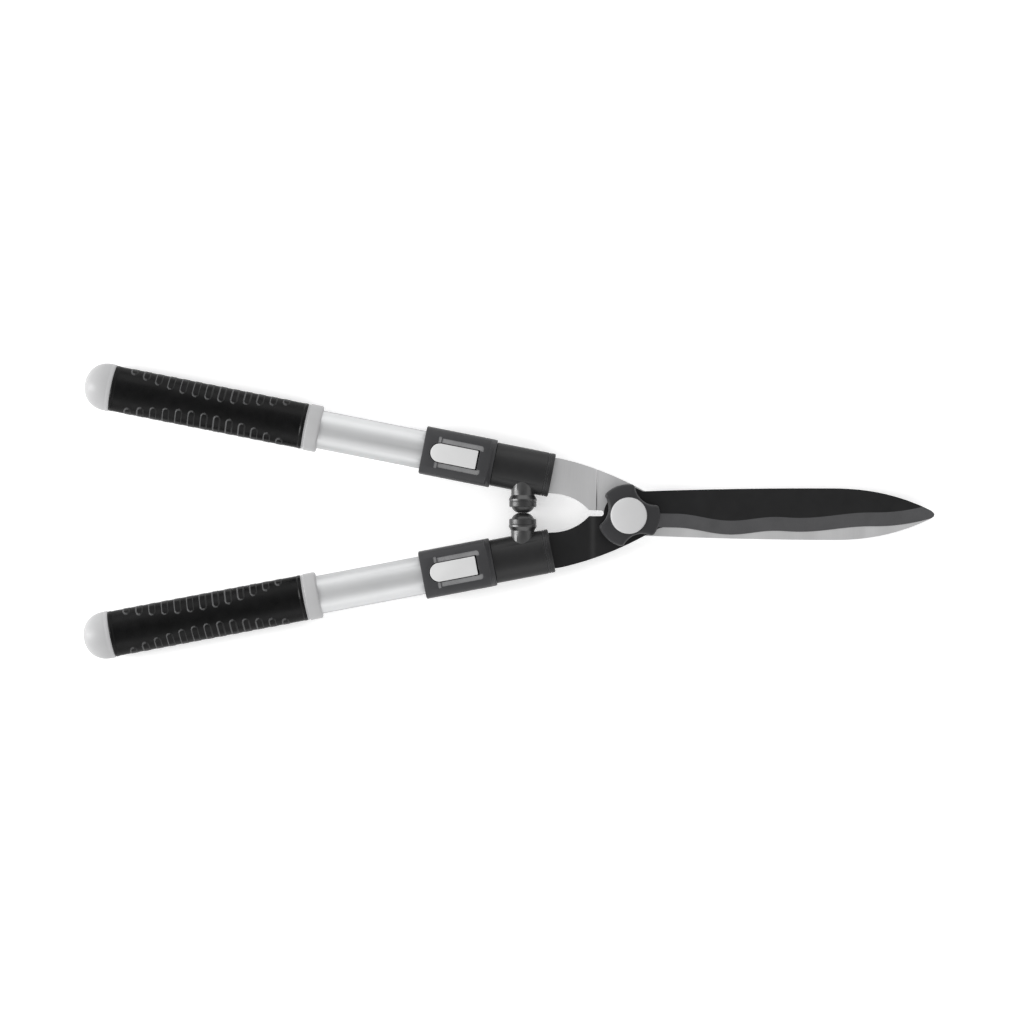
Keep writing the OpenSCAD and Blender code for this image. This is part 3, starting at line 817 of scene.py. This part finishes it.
def lock_section(top, power, grow):
    """Cross section of the lock housing: an oval below and a squarer arch of a height above."""
    n = 160
    half = LOCK[0] / 2
    angles = np.linspace(0, math.pi, 1201)
    y = half * np.sign(np.cos(angles)) * np.abs(np.cos(angles)) ** (2 / power)
    arch = np.stack([y, top * np.sin(angles).clip(0) ** (2 / power)], axis=1)
    lower, _ = oval(LOCK, 2400)
    line = np.concatenate([arch, lower[1201:]])
    run = np.concatenate([[0], np.cumsum(np.hypot(*np.diff(np.vstack([line, line[:1]]), axis=0).T))])
    at = np.arange(n) / n * run[-1]
    points = np.stack([np.interp(at, run, np.append(line[:, k], line[0, k])) for k in (0, 1)], axis=1)
    along = np.roll(points, -1, axis=0) - np.roll(points, 1, axis=0)
    normal = np.stack([along[:, 1], -along[:, 0]], axis=1) / np.hypot(*along.T)[:, None]
    return points + grow * normal


def ledge(sign, s0, s1, outer, corner):
    """Shallow step beside the lever, its outer rim rounded."""
    inner_y = sign * LEDGE_INNER

    def plan(g):
        outer_y = sign * (outer + g)
        return rounded([(s0 - g, inner_y, 0), (s1 + g, inner_y, 0), (s1 + g, outer_y, 0.6),
                        (s0 - g, outer_y, corner)], 8, closed=True)

    return stack(plan, [(LEDGE_Z, 0), (LEDGE_Z + 0.25, 0), (LEDGE_Z + 0.5, 0.12),
                        (LEDGE_Z + 0.7, 0.42), (LEDGE_Z + 2, 0.9)])


def well():
    """The hollow that takes the lever, round at its free end."""
    nose = LEVER_END_S - LEVER_W / 2

    def plan(g):
        half = WELL_HALF + g
        return [(WINDOW[0] - g, -half)] + round_end(nose, half) + [(WINDOW[0] - g, half)]

    return stack(plan, [(13.2, 0), (16.55, 0), (16.85, 0.14), (17.3, 0.2), (17.5, 0.35), (19, 0.8)])


def make_housing(side):
    profile = [(LOCK_S, 13, 2.6, -0.9), (LOCK_S + 0.3, 13, 2.6, -0.3), (LOCK_S + 0.9, 13.1, 2.6, 0),
               (LOCK_S + 1.6, 13.6, 2.8, 0), (LOCK_S + 2.8, 15.8, 3.8, 0), (LOCK_S + 3.6, 17.0, 4.6, 0),
               (LOCK_S + 4.6, LOCK_TOP, LOCK_SQUARE, 0), (LOCK_END_S - 0.9, LOCK_TOP, LOCK_SQUARE, 0),
               (LOCK_END_S - 0.3, LOCK_TOP, LOCK_SQUARE, -0.3),
               (LOCK_END_S, LOCK_TOP, LOCK_SQUARE, -0.9)]
    rings = [[(s, y, z) for y, z in lock_section(top, power, grow)] for s, top, power, grow in profile]
    housing = new_object(f"{side}_lock_housing", loft(rings), "handle", side)
    cuts = [well(), prism(rectangle(*WINDOW), 0, 20)]
    cuts += [ledge(sign, *size) for sign in (-1, 1) for size in LEDGES]
    cuts += [moved(prism(circle(2.95, 48), 0, 2.8), s, 0, -LOCK[1] / 2 - 1) for s in LOCK_SCREWS]
    cuts.append(bar(INNER, [(LOCK_S - 2, 0.12), (OUTER_S + 1, 0.12)]))
    cuts.append(bar(TUBE, [(OUTER_S, 0), (LOCK_END_S + 2, 0)]))
    for shape in cuts:
        cut(housing, shape, "handle", side)
    place(housing, f"{side}_handle", f"{side}_lock_housing", DARK_PLASTIC)
    # The ledges' flat floors take the lighter plastic, a painted highlight.
    housing.data.materials.append(LEDGE_HIGHLIGHT_PLASTIC)
    ledge_height = (TUBE_Z + LEDGE_Z) * MM
    for face in housing.data.polygons:
        flat = face.normal.z > 0.99 and abs(face.center.z - ledge_height) < 0.02 * MM
        face.material_index = int(flat)
    shade(housing, 32)
    make_screws(side, f"{side}_housing_screws", f"{side}_handle", LOCK_SCREWS, -LOCK[1] / 2 + 0.15,
                (2.75, 1.6, 1.4, 3))


def make_lever(side):
    half = LEVER_W / 2
    nose = LEVER_END_S - half
    top = LEVER_Z + LEVER_T

    def plan(g):
        r = half + g
        tail = rounded([(nose, r, 0), (LEVER_S - g, r, 0.7), (LEVER_S - g, -r, 0.7), (nose, -r, 0)], 4)
        return tail + round_end(nose, r)[1:-1]

    plate = stack(plan, [(LEVER_Z, -0.3), (LEVER_Z + 0.3, 0), (top - 0.5, 0), (top - 0.28, -0.06),
                         (top - 0.1, -0.2), (top, -0.5)])
    lever = new_object(f"{side}_lock_lever", plate, "handle", side)
    hub = across(prism(circle(CAM_R, 64), 0.4 - half, half - 0.4), PIN_S, PIN_Z - 0.4)
    cam = new_object("cam", hub, "handle", side)
    above = rectangle(LEVER_S - 2, LEVER_S + 12, half + 1)
    cut(cam, prism(above, LEVER_Z + 1.5, LEVER_Z + 8), "handle", side)
    carve(lever, cam, "UNION")
    cut(lever, across(prism(circle(1.6, 48), -10, 10), PIN_S, PIN_Z), "handle", side)
    place(lever, f"{side}_lever", f"{side}_lock_lever", LEVER_PLASTIC)
    shade(lever, 35)


def make_collar(side):
    outer = rounded([(COLLAR_S, -3.4, 0), (COLLAR_S, 0, 1.9), (GRIP_S - 2, 0, 0.6),
                     (GRIP_S - 1.9, -0.6, 0.2), (GRIP_S, -0.6, 0.2), (GRIP_S, -3.2, 0)], 5)
    rings = [section(COLLAR, s, grow, 144) for s, grow in outer]
    rings += [section(TUBE, s, 0.0, 144) for s in (GRIP_S, COLLAR_S)]
    collar = new_object(f"{side}_collar", loft(rings, loop=True), "handle", side)
    place(collar, f"{side}_handle", f"{side}_collar", LIGHT_PLASTIC)
    shade(collar, 40)


def pad_height(s, y):
    """Share of the pads' height, and the distance from the pad's middle towards the cap."""
    index = round((s - PAD_MIDDLE) / PAD_PITCH + (PAD_N - 1) / 2)
    index = min(PAD_N - 1, max(0, index))
    centre = PAD_MIDDLE + (index - (PAD_N - 1) / 2) * PAD_PITCH
    spread = (2 * index - (PAD_N - 1)) / (PAD_N - 1)
    reach = PAD_SHORT + (PAD_LONG - PAD_SHORT) * (1 - spread ** 2)
    inner = GRIP[0] / 2 - reach + PAD_W / 2
    beyond = np.maximum(inner - np.abs(y), 0)
    distance = np.hypot(beyond, s - centre)
    return np.clip((PAD_W / 2 - distance) / PAD_FLANK, 0, 1), s - centre


def make_grip(side):
    """A sleeve with two rows of pads. Its pads' flanks get lighter rubbers as painted highlights, bright
    towards the cap and faint towards the blade.
    """
    n = 192
    base, normal = oval(GRIP, n, -PAD_H)
    rings = []
    stations = [GRIP_S, GRIP_S + 0.25, GRIP_S + 0.7]
    stations += list(np.arange(GRIP_S + 1.2, CAP_S - 1.2, 0.45)) + [CAP_S - 0.7, CAP_S - 0.25, CAP_S]
    for s in stations:
        from_end = min(s - GRIP_S, CAP_S - s)
        band = float(np.clip((3.4 - from_end) / 1.4, 0, 1))
        height = np.maximum(pad_height(s, base[:, 0])[0], band)
        height = height * height * (3 - 2 * height) * PAD_H
        height *= 1 - 0.75 * np.clip((np.abs(base[:, 0]) - 16) / 2.5, 0, 1)
        height -= 0.8 * max(0.0, 1 - from_end / 0.7) ** 2
        points = base + normal * height[:, None]
        rings.append([(s, y, z) for y, z in points])
    rings += [section(TUBE, s, 0.0, n) for s in (CAP_S, GRIP_S)]
    grip = new_object(f"{side}_grip", loft(rings, loop=True), "handle", side)
    place(grip, f"{side}_handle", f"{side}_grip", GRIP_RUBBER)
    grip.data.materials.append(GRIP_HIGHLIGHT)
    grip.data.materials.append(GRIP_FAINT_HIGHLIGHT)
    # Flank faces take painted highlights: the bright rubber towards the cap, the faint one towards the
    # blade.
    bright, faint = 1, 2
    middle_y = (base[:, 0] + np.roll(base[:, 0], -1)) / 2
    for i, (s0, s1) in enumerate(zip(stations, stations[1:])):
        height, ahead = pad_height((s0 + s1) / 2, middle_y)
        flank = (height > 0.05) & (height < 0.95)
        for j in np.flatnonzero(flank):
            grip.data.polygons[i * n + int(j)].material_index = bright if ahead > -0.9 else faint
    shade(grip, 60)


def make_end_cap(side):
    """A dome over the grip's end, with a fine crease near its foot."""
    wide = GRIP[0] / 2
    deep = GRIP[1] / 2
    rings = []
    crease = CAP_S + 3.5
    stations = [CAP_S, CAP_S + 0.3, CAP_S + 0.8, CAP_S + 2, crease - 0.35, crease - 0.1, crease + 0.1,
                crease + 0.35]
    dome = np.sin(np.linspace(0, math.pi / 2, 44)[1:-1])
    stations += list(crease + 0.6 + (CAP_END_S - crease - 0.6) * dome)
    for s in stations:
        flat = max(0.0, (s - (CAP_END_S - wide)) / wide)
        steep = max(0.0, (s - (CAP_END_S - deep - 4)) / (deep + 4))
        half_w = wide * (1 - flat ** 2.15) ** (1 / 2.15)
        half_d = deep * (1 - steep ** 2.2) ** (1 / 2.2)
        inset = 0.5 * max(0.0, 1 - (s - CAP_S) / 0.8) ** 2 + 0.1 * max(0.0, 1 - abs(s - crease) / 0.35)
        half_d = min(half_d, half_w * 0.95)
        rings.append(section((2 * half_w, 2 * half_d), s, -inset, 144))
    rings.append([(CAP_END_S, 0, 0)])
    cap = new_object(f"{side}_end_cap", loft(rings), "handle", side)
    place(cap, f"{side}_handle", f"{side}_end_cap", LIGHT_PLASTIC)
    shade(cap, 50)


for side in SIDES:
    make_socket(side)
    make_bumper(side)
    make_inner_tube(side)
    make_outer_tube(side)
    make_housing(side)
    make_lever(side)
    make_collar(side)
    make_grip(side)
    make_end_cap(side)


# ---------------------------------------------------------------- CAD nodes that stay

def keep(node, finish, edge):
    """Gives a hidden CAD node its finish and rounds its edges."""
    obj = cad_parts[node]
    obj.data.materials.clear()
    obj.data.materials.append(finish)
    round_edges(obj, edge)


keep("knob_nut", ZINC, 0.3)
for side in SIDES:
    keep(f"{side}_lever_pin", DARK_STEEL, 0.2)
    keep(f"{side}_brake_shoe", GRIP_RUBBER, 0.25)
    keep(f"{side}_tube_guide", GUIDE_PLASTIC, 0.2)


# ---------------------------------------------------------------- studio

def matt(name, shade_value, glow):
    mat = bpy.data.materials.new(name)
    mat.use_nodes = True
    shader = mat.node_tree.nodes["Principled BSDF"]
    shader.inputs["Base Color"].default_value = (shade_value, shade_value, shade_value, 1)
    shader.inputs["Roughness"].default_value = 0.9
    shader.inputs["Emission Color"].default_value = (1, 1, 1, 1)
    shader.inputs["Emission Strength"].default_value = glow
    shader.inputs["Specular IOR Level"].default_value = 0.1
    return mat


def area_light(name, position, size, power):
    """A softbox aimed at the middle of the object."""
    light = bpy.data.lights.new(name, "AREA")
    light.shape = "RECTANGLE"
    light.size, light.size_y = size
    light.energy = power
    obj = bpy.data.objects.new(name, light)
    bpy.context.scene.collection.objects.link(obj)
    obj.location = position
    back = obj.location.copy()
    back.x -= MIDDLE_X * MM
    obj.rotation_euler = back.to_track_quat("Z", "Y").to_euler()


def make_studio():
    bpy.ops.mesh.primitive_plane_add(size=12, location=(0, 0, -0.0003))
    floor = bpy.context.object
    floor.name = "floor"
    floor.data.materials.append(matt("floor", 0.95, 0.32))

    world = bpy.data.worlds.new("studio")
    world.use_nodes = True
    nodes, links = world.node_tree.nodes, world.node_tree.links
    coords = nodes.new("ShaderNodeTexCoord")
    split = nodes.new("ShaderNodeSeparateXYZ")
    ramp = nodes.new("ShaderNodeValToRGB")
    ramp.color_ramp.interpolation = "B_SPLINE"
    stops = ramp.color_ramp.elements
    while len(stops) < len(SKY):
        stops.new(0.5)
    for stop, (height, value) in zip(stops, SKY):
        stop.position = height
        stop.color = (value, value, value, 1)
    links.new(coords.outputs["Generated"], split.inputs["Vector"])
    links.new(split.outputs["Z"], ramp.inputs["Fac"])
    links.new(ramp.outputs["Color"], nodes["Background"].inputs["Color"])
    bpy.context.scene.world = world

    area_light("far_side", (-0.1, 1.6, 0.95), (3.2, 0.9), SIDE_POWER)
    area_light("near_side", (-0.1, -1.6, 0.95), (3.2, 0.9), SIDE_POWER * 0.94)
    area_light("left_end", (-2.1, 0, 0.8), (0.6, 1.6), END_POWER)

    camera = bpy.data.cameras.new("camera")
    camera.lens = 100
    camera.sensor_width = 36
    camera.clip_end = 10
    view = bpy.data.objects.new("camera", camera)
    bpy.context.scene.collection.objects.link(view)
    view.location = [distance * MM for distance in CAMERA]
    view.rotation_euler = (0, 0, math.radians(CAMERA_ROLL))
    bpy.context.scene.camera = view
    bpy.context.scene.view_settings.view_transform = "Standard"


make_studio()
